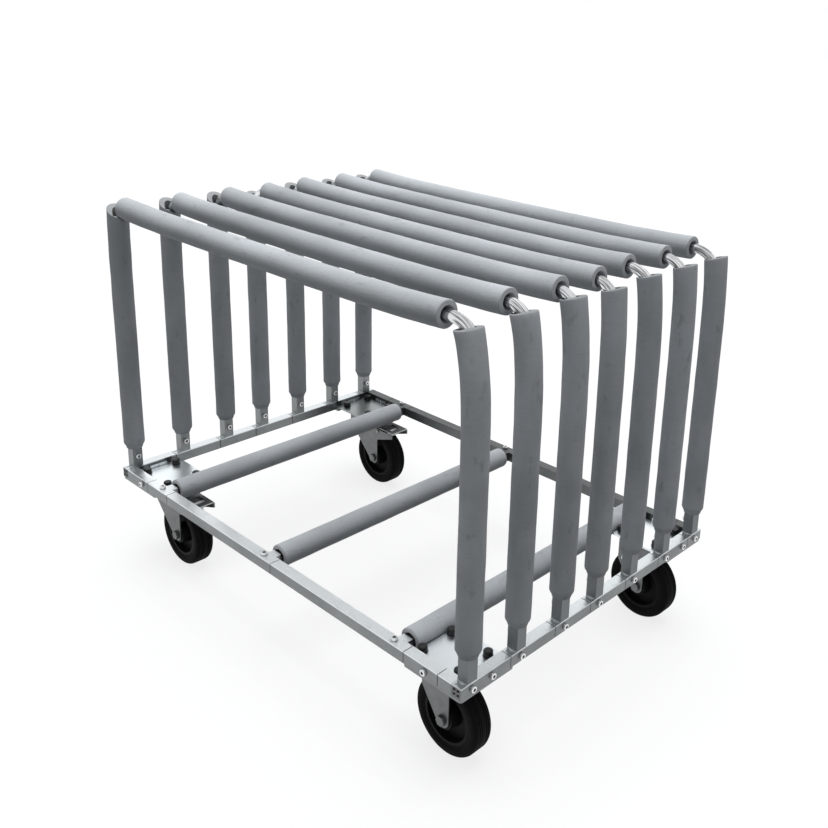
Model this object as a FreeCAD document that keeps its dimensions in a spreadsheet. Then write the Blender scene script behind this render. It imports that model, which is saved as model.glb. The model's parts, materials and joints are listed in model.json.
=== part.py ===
import FreeCAD, Part
import math
import os
import re
import Sketcher

# Glazing trolley: a square-tube frame on four casters, seven padded hoops and three padded cross bars.
# X runs along the hoops, Y across them from front to rear, Z up, with the floor at zero.

driving_sizes = {
    # base frame of square tube
    "frame_length": "1200",
    "frame_depth": "800",
    "rail_side": "25",
    "rail_wall": "1.5",
    "seam_gap": "1.6",
    "seam_reach": "28.5",
    "end_reach": "28",
    "plug_back": "18",
    "plug_front": "55",
    "plug_web": "2.5",
    "fit_clearance": "0.3",
    "cut_overrun": "5",
    # sockets that hold the hoops
    "socket_height": "52",
    "socket_screw_height": "30",
    "recess_margin": "3",
    "recess_width": "12",
    "recess_depth": "0.8",
    # hoops
    "hoop_height": "669",
    "hoop_tube": "21.3",
    "hoop_wall": "2",
    "hoop_bend": "60",
    # foam sleeves on the hoops
    "top_foam": "52",
    "sleeve_gap": "2.2",
    "mouth_margin": "1.5",
    "mouth_run": "16",
    "leg_foam": "51",
    "leg_foam_top": "650",
    "lean_height": "86",
    "lean_radius": "290",
    "foot_height": "24",
    "foot_diameter": "39",
    # padded cross bars
    "bar_side": "20",
    "bar_wall": "1.5",
    "collar_length": "14",
    "bar_screw_offset": "10",
    "bar_foam": "52",
    "bar_foam_gap": "18",
    "plate_gap": "2",
    # corner plates
    "plate_length": "152",
    "plate_width": "142",
    "plate_thickness": "5",
    "plate_rise": "10",
    "plate_corner": "6",
    "lug_length": "46",
    "lug_height": "18",
    "left_seam_offset": "26",
    "right_seam_offset": "34",
    # screws
    "screw_head": "13",
    "screw_head_height": "6.5",
    "screw_shank": "8",
    "screw_round": "1.2",
    "screw_key": "6.5",
    "screw_key_depth": "3.5",
    "lug_shank": "6",
    # casters
    "wheel_headroom": "30",
    "caster_shift_x": "18",
    "caster_shift_y": "9",
    "head_length": "115",
    "head_width": "97",
    "head_thickness": "3.5",
    "head_corner": "10",
    "bolt_pitch_x": "96",
    "bolt_pitch_y": "78",
    "bolt_shank": "8",
    "bolt_head": "13",
    "bolt_head_height": "5",
    "bolt_rise": "8",
    "cap_flange": "20",
    "cap_flange_height": "2",
    "cap_diameter": "19",
    "cap_height": "13",
    "cap_round": "2.5",
    "fork_width": "62",
    "fork_sheet": "3",
    "fork_fold": "4.5",
    "fork_eye": "33",
    "fork_heel": "42",
    "heel_depth": "30",
    "cheek_reach": "57",
    "cheek_shoulder": "70.5",
    "cheek_flare": "48.5",
    "trail": "62",
    "race_height": "8.5",
    "race_outer": "76",
    "race_inner": "50",
    "kingpin": "16",
    "kingpin_flange": "30",
    "kingpin_flange_height": "4",
    "axle": "12",
    "axle_across": "19",
    "axle_head_height": "7",
    "axle_tail": "4",
    # wheels
    "wheel_diameter": "165",
    "tyre_width": "46",
    "tyre_shoulder": "9",
    "tyre_groove": "2",
    "seat_clearance": "0.15",
    "rim_diameter": "116",
    "rim_wall": "6",
    "rim_width": "40",
    "hub_diameter": "44",
    "hub_clearance": "0.6",
    "web_thickness": "9",
    # brakes on the swivel casters
    "arm_reach": "80",
    "arm_drop": "19.5",
    "arm_tip_rise": "2",
    "arm_depth": "12.5",
    "pivot_reach": "20",
    "pivot_drop": "8",
    "pivot_pin": "6",
    "pedal_start": "14",
    "pedal_length": "68",
    "pedal_rise": "19",
    "pedal_sheet": "3",
    "pedal_window_length": "34",
    "pedal_window_width": "32",
    "ear_length": "20",
    "ear_drop": "17",
    "shoe_gap": "8.9",
    "shoe_start": "36",
    "shoe_length": "14",
    "shoe_width": "40",
}

# Where each hoop stands, as a share of the way from the first hoop to the last.
hoop_place_shares = (0.0, 0.178, 0.353, 0.505, 0.67, 0.837, 1.0)
# How far each top sleeve has slid along its bar, as a share of the foam's diameter.
sleeve_slide_shares = (-0.2, 0.06, 0.14, 0.18, -0.08, 0.0, -0.12)
# Which cross bars there are, as a share of their spacing from the middle.
bar_names = ("left", "middle", "right")
bar_place_shares = (-1.0, 0.0, 1.0)
# Where the tread is grooved, as shares of the way from its middle to its rounded shoulder.
groove_shares = (0.8, 0.45)
# Where the slanted edge of a fork cheek meets the round eye, as shares of the eye's radius.
eye_heel_shares = (-0.82, -0.57)

# Sizes that follow from the driving ones, as formulas of them.
worked_out = {
    "fork_top": "wheel_diameter + wheel_headroom + fork_sheet",
    "head_bottom": "fork_top + race_height",
    "caster_height": "head_bottom + head_thickness",
    "half_length": "frame_length / 2",
    "half_depth": "frame_depth / 2",
    "panel_top": "caster_height + plate_thickness",
    "rail_bottom": "panel_top - plate_rise",
    "rail_top": "rail_bottom + rail_side",
    "rail_middle": "rail_bottom + rail_side / 2",
    "rail_bore": "rail_side - 2 * rail_wall",
    "leg_place": "half_length - rail_side / 2",
    "front_rail_place": "half_depth - rail_side / 2",
    "inner_length": "half_length - rail_side",
    "inner_depth": "half_depth - rail_side",
    "first_hoop": "seam_reach - half_depth",
    "hoop_span": "frame_depth - seam_reach - end_reach",
    "tube_bore": "hoop_tube + 2 * fit_clearance",
    "socket_top": "rail_top + socket_height",
    "bar_place": "rail_top + hoop_height",
    "slide_most": "%s * top_foam" % max(abs(share) for share in sleeve_slide_shares),
    "lean_edge": "lean_radius - sqrt((lean_radius - leg_foam / 2) ^ 2 - lean_height ^ 2)",
    "top_reach": "leg_place - lean_edge - sleeve_gap",
    "top_half": "top_reach - slide_most",
    "bend_reach": "max(0; top_reach + hoop_bend - leg_place)",
    "bend_drop": "hoop_bend - sqrt(hoop_bend ^ 2 - bend_reach ^ 2)",
    "mouth_bore": "tube_bore + 2 * (bend_drop + mouth_margin)",
    "mouth_depth": "bend_reach + mouth_run",
    "leg_top": "rail_top + leg_foam_top",
    "lean_start": "leg_top - lean_height",
    "bar_spacing": "half_length - plate_length - plate_gap - bar_foam / 2",
    "collar_bore": "bar_side + 2 * fit_clearance",
    "bar_bore": "bar_side * sqrt(2) + 2 * fit_clearance",
    "bar_foam_length": "2 * (inner_depth - bar_foam_gap)",
    "plug_side": "rail_bore - 2 * fit_clearance",
    "plug_window": "(plug_side - 3 * plug_web) / 2",
    "screw_hole": "screw_shank + 2 * fit_clearance",
    "lug_hole": "lug_shank + 2 * fit_clearance",
    "caster_x": "half_length - plate_length / 2 - caster_shift_x",
    "caster_y": "half_depth - plate_width / 2 - caster_shift_y",
    "bolt_hole": "bolt_shank + 2 * fit_clearance",
    "axle_place": "wheel_diameter / 2",
    "axle_hole": "axle + 2 * fit_clearance",
    "fork_gap": "fork_width - 2 * fork_sheet",
    "hub_width": "fork_gap - 2 * hub_clearance",
    "pedal_width": "fork_gap - 4 * fit_clearance",
    "pedal_bottom": "wheel_diameter + pedal_rise - pedal_sheet",
    "pivot_place": "pedal_bottom - pivot_drop",
    "shoe_radius": "axle_place + shoe_gap",
}

doc = FreeCAD.newDocument("glazing_trolley")
sheet = doc.addObject("Spreadsheet::Sheet", "sizes")
for row, (alias, value) in enumerate(driving_sizes.items(), start=1):
    sheet.set("A%d" % row, alias)
    sheet.set("B%d" % row, value)
    sheet.setAlias("B%d" % row, alias)
doc.recompute()

nodes = []
tolerance = 1e-6
along_x = FreeCAD.Vector(1, 0, 0)
along_y = FreeCAD.Vector(0, 1, 0)
along_z = FreeCAD.Vector(0, 0, 1)


def formula(words):
    # Spells a formula out in the sheet's own cells.
    def spelled(found):
        name = found.group()
        if name in worked_out:
            return "(" + formula(worked_out[name]) + ")"
        if name in driving_sizes:
            return "sizes." + name
        return name
    return re.sub(r"[a-z][a-z_]*", spelled, words)


def measure(words):
    answer = sheet.evalExpression(formula(words))
    return float(getattr(answer, "Value", answer))


def place(thing, x="0", y="0", z="0", path="Placement"):
    for axis, words in (("x", x), ("y", y), ("z", z)):
        thing.setExpression("%s.Base.%s" % (path, axis), formula(words))


def node(thing, label):
    thing.Label = label
    nodes.append(thing)
    return thing


def new_body(name):
    return doc.addObject("PartDesign::Body", name)


def sketch_on(body, plane, offset="0"):
    sketch = body.newObject("Sketcher::SketchObject", "sketch")
    planes = {feature.Role: feature for feature in body.Origin.OriginFeatures}
    sketch.AttachmentSupport = (planes[plane + "_Plane"], [""])
    sketch.MapMode = "FlatFace"
    sketch.setExpression(".AttachmentOffset.Base.z", formula(offset))
    return sketch


def hold(sketch, kind, elements, words):
    # Adds one dimension to a sketch and ties it to a formula.
    value = measure(words)
    if kind in ("DistanceX", "DistanceY") and value == 0:
        axis = -2 if kind == "DistanceX" else -1
        sketch.addConstraint(Sketcher.Constraint("PointOnObject", *elements, axis))
        return
    if kind in ("DistanceX", "DistanceY"):
        elements = (-1, 1) + tuple(elements)
    index = sketch.addConstraint(Sketcher.Constraint(kind, *elements, value))
    sketch.setExpression("Constraints[%d]" % index, formula(words))


def pin_point(sketch, element, spot, x, y):
    hold(sketch, "DistanceX", (element, spot), x)
    hold(sketch, "DistanceY", (element, spot), y)


def polygon(sketch, corners):
    spots = [FreeCAD.Vector(measure(x), measure(y), 0) for x, y in corners]
    first = sketch.GeometryCount
    count = len(spots)
    for index in range(count):
        sketch.addGeometry(Part.LineSegment(spots[index], spots[(index + 1) % count]))
    for index in range(count):
        following = first + (index + 1) % count
        sketch.addConstraint(Sketcher.Constraint("Coincident", first + index, 2, following, 1))
    for index, (x, y) in enumerate(corners):
        pin_point(sketch, first + index, 1, x, y)


def rectangle(sketch, left, right, low, high):
    polygon(sketch, [(left, low), (right, low), (right, high), (left, high)])


def square(sketch, x, y, side):
    half = "(%s) / 2" % side
    rectangle(sketch, "%s - %s" % (x, half), "%s + %s" % (x, half),
              "%s - %s" % (y, half), "%s + %s" % (y, half))


def circle(sketch, x, y, diameter):
    centre = FreeCAD.Vector(measure(x), measure(y), 0)
    radius = measure(diameter) / 2
    element = sketch.addGeometry(Part.Circle(centre, along_z, radius))
    hold(sketch, "Diameter", (element,), diameter)
    pin_point(sketch, element, 3, x, y)


def hexagon(sketch, x, y, across):
    # Corners of a hexagon with two flats square to the sketch's second axis.
    corner = "%s / sqrt(3)" % across
    half = "%s / sqrt(3) / 2" % across
    polygon(sketch, [("%s + %s" % (x, corner), y),
                     ("%s + %s" % (x, half), "%s + %s / 2" % (y, across)),
                     ("%s - %s" % (x, half), "%s + %s / 2" % (y, across)),
                     ("%s - %s" % (x, corner), y),
                     ("%s - %s" % (x, half), "%s - %s / 2" % (y, across)),
                     ("%s + %s" % (x, half), "%s - %s / 2" % (y, across))])


def feature(body, kind, sketch, length=None, symmetric=False, backwards=False):
    made = body.newObject("PartDesign::" + kind, kind.lower())
    made.Profile = sketch
    if symmetric:
        made.SideType = "Symmetric"
    made.Reversed = backwards
    if length is None:
        made.Type = "ThroughAll"
    else:
        made.setExpression("Length", formula(length))
    return made


def revolve(body, sketch, axis):
    made = body.newObject("PartDesign::Revolution", "revolution")
    made.Profile = sketch
    made.ReferenceAxis = (sketch, [axis])
    return made


def sweep(body, kind, section, spine):
    made = body.newObject("PartDesign::" + kind, "pipe")
    made.Profile = section
    made.Spine = (spine, [])
    return made


def round_edges(body, radius, chosen):
    # Rounds the edges of the body's last feature that the test picks out.
    doc.recompute()
    base = body.Tip
    names = ["Edge%d" % number for number, edge in enumerate(base.Shape.Edges, start=1) if chosen(edge)]
    made = body.newObject("PartDesign::Fillet", "fillet")
    made.Base = (base, names)
    made.setExpression("Radius", formula(radius))
    return made


def upright_edge(edge):
    ends = [vertex.Point for vertex in edge.Vertexes]
    if len(ends) != 2:
        return False
    run = ends[1] - ends[0]
    return abs(run.x) + abs(run.y) < tolerance < abs(run.z)


def edge_of_tread(edge):
    # Whether an edge is one of the two sharp rims where a tyre's tread meets its sides.
    box = edge.BoundBox
    at_side = abs(abs(box.Center.y) - measure("tyre_width / 2")) < tolerance
    at_tread = abs(box.ZMax - measure("wheel_diameter / 2")) < tolerance
    return at_side and at_tread


def edge_of_fold(edge):
    # Whether an edge is one of the two long folds where a fork's cheeks meet its top.
    box = edge.BoundBox
    at_top = abs(box.ZMin - measure("fork_top")) < tolerance
    at_side = abs(abs(box.Center.y) - measure("fork_width / 2")) < tolerance
    return at_top and at_side


def edge_of_flange(edge):
    # The outer corners of a corner plate's flange.
    box = edge.BoundBox
    at_side = box.XMax > measure("half_length") - tolerance
    at_front = box.YMin < tolerance - measure("half_depth")
    return upright_edge(edge) and (at_side or at_front)


def edge_of_panel(edge):
    # The free corner of a corner plate's panel.
    box = edge.BoundBox
    at_side = box.XMax < measure("half_length - plate_length") + tolerance
    at_rear = box.YMin > measure("plate_width - half_depth") - tolerance
    return upright_edge(edge) and at_side and at_rear


def copy_of(source, x="0", y="0", z="0", upward=None):
    # A copy of a piece, turned so that its own up points the given way.
    made = doc.addObject("App::Link", source.Name + "_copy")
    made.LinkedObject = source
    turn = FreeCAD.Rotation(along_z, upward or along_z)
    made.LinkPlacement = FreeCAD.Placement(FreeCAD.Vector(), turn)
    place(made, x, y, z, "LinkPlacement")
    return made


def group(name, things):
    made = doc.addObject("Part::Compound", name)
    made.Links = things
    return made


def mirror(source, across):
    made = doc.addObject("Part::Mirroring", source.Name + "_mirrored")
    made.Source = source
    made.Normal = across
    return made


def hoop_place(index):
    return "first_hoop + %s * hoop_span" % hoop_place_shares[index]


def seam_place(index):
    return "%s - seam_reach" % hoop_place(index)


def side_stretch(index):
    # Where one segment of a side rail starts and ends.
    last = len(hoop_place_shares) - 1
    low = "-half_depth" if index == 0 else seam_place(index) + " + seam_gap / 2"
    high = "half_depth" if index == last else seam_place(index + 1) + " - seam_gap / 2"
    return low, high


def bar_line(side):
    return "%s * bar_spacing" % bar_place_shares[bar_names.index(side)]


caster_ends = (("front", "-caster_y"), ("rear", "caster_y"))
front_seams = ["left_seam_offset - caster_x"]
front_seams += [bar_line(side) + " + seam_reach" for side in bar_names]
front_seams += ["caster_x + right_seam_offset"]


def hoop_spine(sketch):
    # Up one leg, round a bend, along the top, round the other bend and down.
    reach = measure("leg_place")
    foot = measure("rail_top")
    top = measure("bar_place")
    bend = measure("hoop_bend")
    high = top - bend
    inner = reach - bend
    slope = bend / math.sqrt(2)

    def spot(x, z):
        return FreeCAD.Vector(x, z, 0)

    left_leg = sketch.addGeometry(Part.LineSegment(spot(-reach, foot), spot(-reach, high)))
    left_bend = sketch.addGeometry(
        Part.Arc(spot(-reach, high), spot(-inner - slope, high + slope), spot(-inner, top)))
    top_bar = sketch.addGeometry(Part.LineSegment(spot(-inner, top), spot(inner, top)))
    right_bend = sketch.addGeometry(
        Part.Arc(spot(inner, top), spot(inner + slope, high + slope), spot(reach, high)))
    right_leg = sketch.addGeometry(Part.LineSegment(spot(reach, high), spot(reach, foot)))
    # three-point arcs run against the clock, so their first point is the end further round
    for first, first_end, second, second_end in ((left_leg, 2, left_bend, 2), (left_bend, 1, top_bar, 1),
                                                 (top_bar, 2, right_bend, 2), (right_bend, 1, right_leg, 1)):
        sketch.addConstraint(Sketcher.Constraint("Tangent", first, first_end, second, second_end))
    pin_point(sketch, left_leg, 1, "-leg_place", "rail_top")
    pin_point(sketch, right_leg, 2, "leg_place", "rail_top")
    sketch.addConstraint(Sketcher.Constraint("Vertical", left_leg))
    sketch.addConstraint(Sketcher.Constraint("Horizontal", top_bar))
    hold(sketch, "DistanceY", (top_bar, 1), "bar_place")
    hold(sketch, "Radius", (left_bend,), "hoop_bend")
    hold(sketch, "Radius", (right_bend,), "hoop_bend")


def make_hoop(index):
    body = new_body("hoop")
    spine = sketch_on(body, "XZ")
    hoop_spine(spine)
    section = sketch_on(body, "XY", "rail_top")
    circle(section, "-leg_place", "0", "hoop_tube")
    circle(section, "-leg_place", "0", "hoop_tube - 2 * hoop_wall")
    sweep(body, "AdditivePipe", section, spine)
    place(body, y=hoop_place(index))
    node(body, "hoop_%d" % (index + 1))


def make_top_sleeve(index):
    # A turned sleeve, its bore widened at both ends where the tube starts to bend down.
    body = new_body("top_sleeve")
    outline = sketch_on(body, "XZ")
    section = [("top_half", "top_foam / 2"),
               ("top_half", "mouth_bore / 2"),
               ("top_half - mouth_depth", "tube_bore / 2")]
    polygon(outline, section + [("-(%s)" % along, out) for along, out in reversed(section)])
    revolve(body, outline, "H_Axis")
    slide = "%s * top_foam" % sleeve_slide_shares[index]
    place(body, slide, hoop_place(index), "bar_place")
    node(body, "top_sleeve_%d" % (index + 1))


def lean_spine(sketch):
    # The arc that the middle of the foam follows where it leans in over the bend.
    radius = measure("lean_radius")
    angle = math.asin(measure("lean_height + leg_foam / 2") / radius)
    ring = Part.Circle(FreeCAD.Vector(-radius, measure("lean_start"), 0), along_z, radius)
    lean = sketch.addGeometry(Part.ArcOfCircle(ring, 0, angle))
    hold(sketch, "Radius", (lean,), "lean_radius")
    pin_point(sketch, lean, 3, "-lean_radius", "lean_start")
    hold(sketch, "DistanceY", (lean, 1), "lean_start")
    hold(sketch, "DistanceY", (lean, 2), "leg_top + leg_foam / 2")


def tube_spine(sketch):
    # The hoop's own line past one leg: straight up, then round the bend.
    foot = measure("socket_top - cut_overrun")
    high = measure("bar_place - hoop_bend")
    bend = measure("hoop_bend")
    slope = bend / math.sqrt(2)
    leg = sketch.addGeometry(Part.LineSegment(FreeCAD.Vector(0, foot, 0), FreeCAD.Vector(0, high, 0)))
    turn = sketch.addGeometry(Part.Arc(FreeCAD.Vector(0, high, 0),
                                       FreeCAD.Vector(slope - bend, high + slope, 0),
                                       FreeCAD.Vector(-bend, high + bend, 0)))
    sketch.addConstraint(Sketcher.Constraint("Tangent", leg, 2, turn, 1))
    pin_point(sketch, leg, 1, "0", "socket_top - cut_overrun")
    sketch.addConstraint(Sketcher.Constraint("Vertical", leg))
    hold(sketch, "DistanceY", (leg, 2), "bar_place - hoop_bend")
    hold(sketch, "Radius", (turn,), "hoop_bend")
    hold(sketch, "DistanceX", (turn, 2), "-hoop_bend")


def make_leg_sleeve():
    # The right-hand sleeve: a turned foot and shaft, a top that leans in, and a bore round the bent tube.
    body = new_body("leg_sleeve")
    outline = sketch_on(body, "XZ")
    polygon(outline, [("0", "socket_top"),
                      ("foot_diameter / 2", "socket_top"),
                      ("leg_foam / 2", "socket_top + foot_height"),
                      ("leg_foam / 2", "lean_start"),
                      ("0", "lean_start")])
    revolve(body, outline, "V_Axis")
    spine = sketch_on(body, "XZ")
    lean_spine(spine)
    section = sketch_on(body, "XY", "lean_start")
    circle(section, "0", "0", "leg_foam")
    sweep(body, "AdditivePipe", section, spine)
    above = sketch_on(body, "XY", "leg_top")
    square(above, "0", "0", "4 * leg_foam")
    feature(body, "Pocket", above, "2 * leg_foam", backwards=True)
    tube = sketch_on(body, "XZ")
    tube_spine(tube)
    bore = sketch_on(body, "XY", "socket_top - cut_overrun")
    circle(bore, "0", "0", "tube_bore")
    sweep(body, "SubtractivePipe", bore, tube)
    place(body, "leg_place")
    return body


def make_leg_sleeves():
    right = make_leg_sleeve()
    left = mirror(right, along_x)
    for index in range(len(hoop_place_shares)):
        pair = [copy_of(right, "leg_place", hoop_place(index)), copy_of(left, y=hoop_place(index))]
        node(group("leg_sleeves", pair), "leg_sleeves_%d" % (index + 1))


def make_cross_bar(side):
    middle = bar_line(side)
    body = new_body("cross_bar")
    section = sketch_on(body, "XZ")
    square(section, "0", "0", "bar_side")
    square(section, "0", "0", "bar_side - 2 * bar_wall")
    feature(body, "Pad", section, "2 * inner_depth", symmetric=True)
    place(body, middle, z="rail_middle")
    node(body, side + "_cross_bar")
    body = new_body("cross_sleeve")
    section = sketch_on(body, "XZ")
    circle(section, "0", "0", "bar_foam")
    circle(section, "0", "0", "bar_bore")
    feature(body, "Pad", section, "bar_foam_length", symmetric=True)
    place(body, middle, z="rail_middle")
    node(body, side + "_cross_sleeve")


def make_side_segment(index):
    # One segment of the right-hand rail, with the upright socket for one hoop.
    low, high = side_stretch(index)
    middle = hoop_place(index)
    body = new_body("side_segment")
    tube = sketch_on(body, "XZ", "-(%s)" % high)
    square(tube, "leg_place", "rail_middle", "rail_side")
    square(tube, "leg_place", "rail_middle", "rail_bore")
    feature(body, "Pad", tube, "%s - (%s)" % (high, low))
    socket = sketch_on(body, "XY", "rail_top")
    square(socket, "leg_place", middle, "rail_side")
    circle(socket, "leg_place", middle, "tube_bore")
    feature(body, "Pad", socket, "socket_height")
    recess = sketch_on(body, "XY", "rail_top")
    rectangle(recess, "leg_place - recess_width / 2", "leg_place + recess_width / 2",
              middle + " - seam_reach + recess_margin", middle + " - rail_side / 2 - recess_margin")
    feature(body, "Pocket", recess, "recess_depth")
    inner_hole = sketch_on(body, "YZ", "leg_place")
    circle(inner_hole, middle, "rail_top + socket_screw_height", "screw_hole")
    feature(body, "Pocket", inner_hole, "rail_side / 2 + cut_overrun")
    outer_hole = sketch_on(body, "YZ", "leg_place")
    circle(outer_hole, middle, "rail_middle", "screw_hole")
    feature(body, "Pocket", outer_hole, "rail_side / 2 + cut_overrun", backwards=True)
    for lug in ("-caster_y", "caster_y"):
        if measure(low) < measure(lug) < measure(high):
            hole = sketch_on(body, "YZ", "leg_place")
            circle(hole, lug, "rail_middle", "lug_hole")
            feature(body, "Pocket", hole, "rail_side + cut_overrun", symmetric=True)
    return body


def make_front_segment(low, high):
    # One segment of the front rail, with a collar where a cross bar meets it.
    body = new_body("front_segment")
    tube = sketch_on(body, "YZ", low)
    square(tube, "-front_rail_place", "rail_middle", "rail_side")
    square(tube, "-front_rail_place", "rail_middle", "rail_bore")
    feature(body, "Pad", tube, "%s - (%s)" % (high, low))
    for side in bar_names:
        middle = bar_line(side)
        if measure(low) < measure(middle) < measure(high):
            collar = sketch_on(body, "XZ", "inner_depth")
            square(collar, middle, "rail_middle", "rail_side")
            square(collar, middle, "rail_middle", "collar_bore")
            feature(body, "Pad", collar, "collar_length", backwards=True)
            hole = sketch_on(body, "XY", "rail_middle")
            circle(hole, middle + " - bar_screw_offset", "-front_rail_place", "screw_hole")
            feature(body, "Pocket", hole, "rail_side / 2 + cut_overrun", backwards=True)
    for lug in ("-caster_x", "caster_x"):
        if measure(low) < measure(lug) < measure(high):
            hole = sketch_on(body, "XZ", "front_rail_place")
            circle(hole, lug, "rail_middle", "lug_hole")
            feature(body, "Pocket", hole, "rail_side + cut_overrun", symmetric=True)
    return body


def make_plug(plane, across, low, high):
    # A hollow plug inside a rail, with a cross-shaped web between its four windows.
    body = new_body("plug")
    if plane == "XZ":
        section = sketch_on(body, plane, "-(%s)" % high)
    else:
        section = sketch_on(body, plane, low)
    square(section, across, "rail_middle", "plug_side")
    for left in (across + " - plug_web / 2 - plug_window", across + " + plug_web / 2"):
        for bottom in ("rail_middle - plug_web / 2 - plug_window", "rail_middle + plug_web / 2"):
            rectangle(section, left, left + " + plug_window", bottom, bottom + " + plug_window")
    feature(body, "Pad", section, "%s - (%s)" % (high, low))
    lugs = ("-caster_y", "caster_y") if plane == "XZ" else ("-caster_x", "caster_x")
    for lug in lugs:
        if measure(low + " - lug_hole / 2") < measure(lug) < measure(high + " + lug_hole / 2"):
            hole = sketch_on(body, "YZ" if plane == "XZ" else "XZ", across.replace("-", ""))
            circle(hole, lug, "rail_middle", "lug_hole")
            feature(body, "Pocket", hole, "rail_side + cut_overrun", symmetric=True)
    return body


def make_rails():
    count = len(hoop_place_shares)
    right = node(group("right_rail", [make_side_segment(index) for index in range(count)]), "right_rail")
    node(mirror(right, along_x), "left_rail")
    ends = ["-inner_length"] + front_seams + ["inner_length"]
    pieces = []
    for index in range(len(ends) - 1):
        low = ends[index] if index == 0 else ends[index] + " + seam_gap / 2"
        high = ends[index + 1] if index == len(front_seams) else ends[index + 1] + " - seam_gap / 2"
        pieces.append(make_front_segment(low, high))
    front = node(group("front_rail", pieces), "front_rail")
    node(mirror(front, along_y), "rear_rail")
    side_plugs = []
    for index in range(count):
        low = "-half_depth" if index == 0 else seam_place(index) + " - plug_back"
        high = "half_depth" if index == count - 1 else seam_place(index) + " + plug_front"
        side_plugs.append(make_plug("XZ", "leg_place", low, high))
    front_plugs = []
    for seam in front_seams:
        back = "plug_back" if "caster_x" in seam else "plug_front"
        front_plugs.append(make_plug("YZ", "-front_rail_place",
                                     "%s - %s" % (seam, back), seam + " + plug_back"))
    sides = group("side_plugs", side_plugs)
    fronts = group("front_plugs", front_plugs)
    node(group("rail_plugs", [sides, mirror(sides, along_x), fronts, mirror(fronts, along_y)]), "rail_plugs")


def make_corner_plates():
    # A pressed plate: a flange under the rails, walls up their inner faces and a raised panel between them.
    body = new_body("corner_plate")
    edge_x = "half_length - plate_length"
    edge_y = "plate_width - half_depth"
    wall_x = "inner_length - plate_thickness"
    wall_y = "plate_thickness - inner_depth"
    inside = [(wall_x, edge_y), (wall_x, wall_y), (edge_x, wall_y)]
    rim = [(edge_x, "-half_depth"), ("half_length", "-half_depth"), ("half_length", edge_y)]
    flange = sketch_on(body, "XY", "rail_bottom")
    polygon(flange, rim + inside)
    feature(body, "Pad", flange, "plate_thickness", backwards=True)
    round_edges(body, "plate_corner", edge_of_flange)
    rim = [(edge_x, "-inner_depth"), ("inner_length", "-inner_depth"), ("inner_length", edge_y)]
    walls = sketch_on(body, "XY", "rail_bottom")
    polygon(walls, rim + inside)
    feature(body, "Pad", walls, "plate_rise")
    panel = sketch_on(body, "XY", "caster_height")
    rectangle(panel, edge_x, "inner_length", "-inner_depth", edge_y)
    feature(body, "Pad", panel, "plate_thickness")
    round_edges(body, "plate_corner", edge_of_panel)
    lugs = sketch_on(body, "XY", "panel_top")
    rectangle(lugs, wall_x, "inner_length", "-caster_y - lug_length / 2", "lug_length / 2 - caster_y")
    rectangle(lugs, "caster_x - lug_length / 2", "caster_x + lug_length / 2", "-inner_depth", wall_y)
    feature(body, "Pad", lugs, "lug_height - plate_rise")
    side_hole = sketch_on(body, "YZ", "inner_length")
    circle(side_hole, "-caster_y", "rail_middle", "lug_hole")
    feature(body, "Pocket", side_hole, "plate_thickness")
    front_hole = sketch_on(body, "XZ", "inner_depth")
    circle(front_hole, "caster_x", "rail_middle", "lug_hole")
    feature(body, "Pocket", front_hole, "plate_thickness")
    holes = sketch_on(body, "XY", "panel_top")
    bolt_circles(holes, "caster_x", "-caster_y", "bolt_hole")
    feature(body, "Pocket", holes, "plate_thickness + cut_overrun")
    left = mirror(body, along_x)
    node(body, "front_right_corner_plate")
    node(left, "front_left_corner_plate")
    node(mirror(body, along_y), "rear_right_corner_plate")
    node(mirror(left, along_y), "rear_left_corner_plate")


def bolt_circles(sketch, x, y, diameter):
    for side in ("-", "+"):
        for end in ("-", "+"):
            circle(sketch, "%s %s bolt_pitch_x / 2" % (x, side),
                   "%s %s bolt_pitch_y / 2" % (y, end), diameter)


def make_screw(shank, length):
    # A round-headed screw with a hex socket, its head standing on the floor of its own frame.
    body = new_body("screw")
    head = sketch_on(body, "XY")
    circle(head, "0", "0", "screw_head")
    feature(body, "Pad", head, "screw_head_height")
    round_edges(body, "screw_round", lambda edge: edge.BoundBox.ZMin > tolerance)
    stem = sketch_on(body, "XY")
    circle(stem, "0", "0", shank)
    feature(body, "Pad", stem, length, backwards=True)
    key = sketch_on(body, "XY", "screw_head_height")
    hexagon(key, "0", "0", "screw_key")
    feature(body, "Pocket", key, "screw_key_depth")
    return body


def make_clamp_screws():
    short = make_screw("screw_shank", "rail_wall")
    long = make_screw("lug_shank", "rail_side + plate_thickness")
    screws = []
    for side, outward in (("", along_x), ("-", -along_x)):
        for index in range(len(hoop_place_shares)):
            middle = hoop_place(index)
            screws.append(copy_of(short, side + "inner_length", middle,
                                  "rail_top + socket_screw_height", -outward))
            screws.append(copy_of(short, side + "half_length", middle, "rail_middle", outward))
        for end in ("", "-"):
            screws.append(copy_of(long, side + "half_length", end + "caster_y", "rail_middle", outward))
    for end, outward in (("", along_y), ("-", -along_y)):
        for side in bar_names:
            screws.append(copy_of(short, bar_line(side) + " - bar_screw_offset",
                                  end + "front_rail_place", "rail_top"))
        for side in ("", "-"):
            screws.append(copy_of(long, side + "caster_x", end + "half_depth", "rail_middle", outward))
    node(group("clamp_screws", screws), "clamp_screws")


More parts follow.
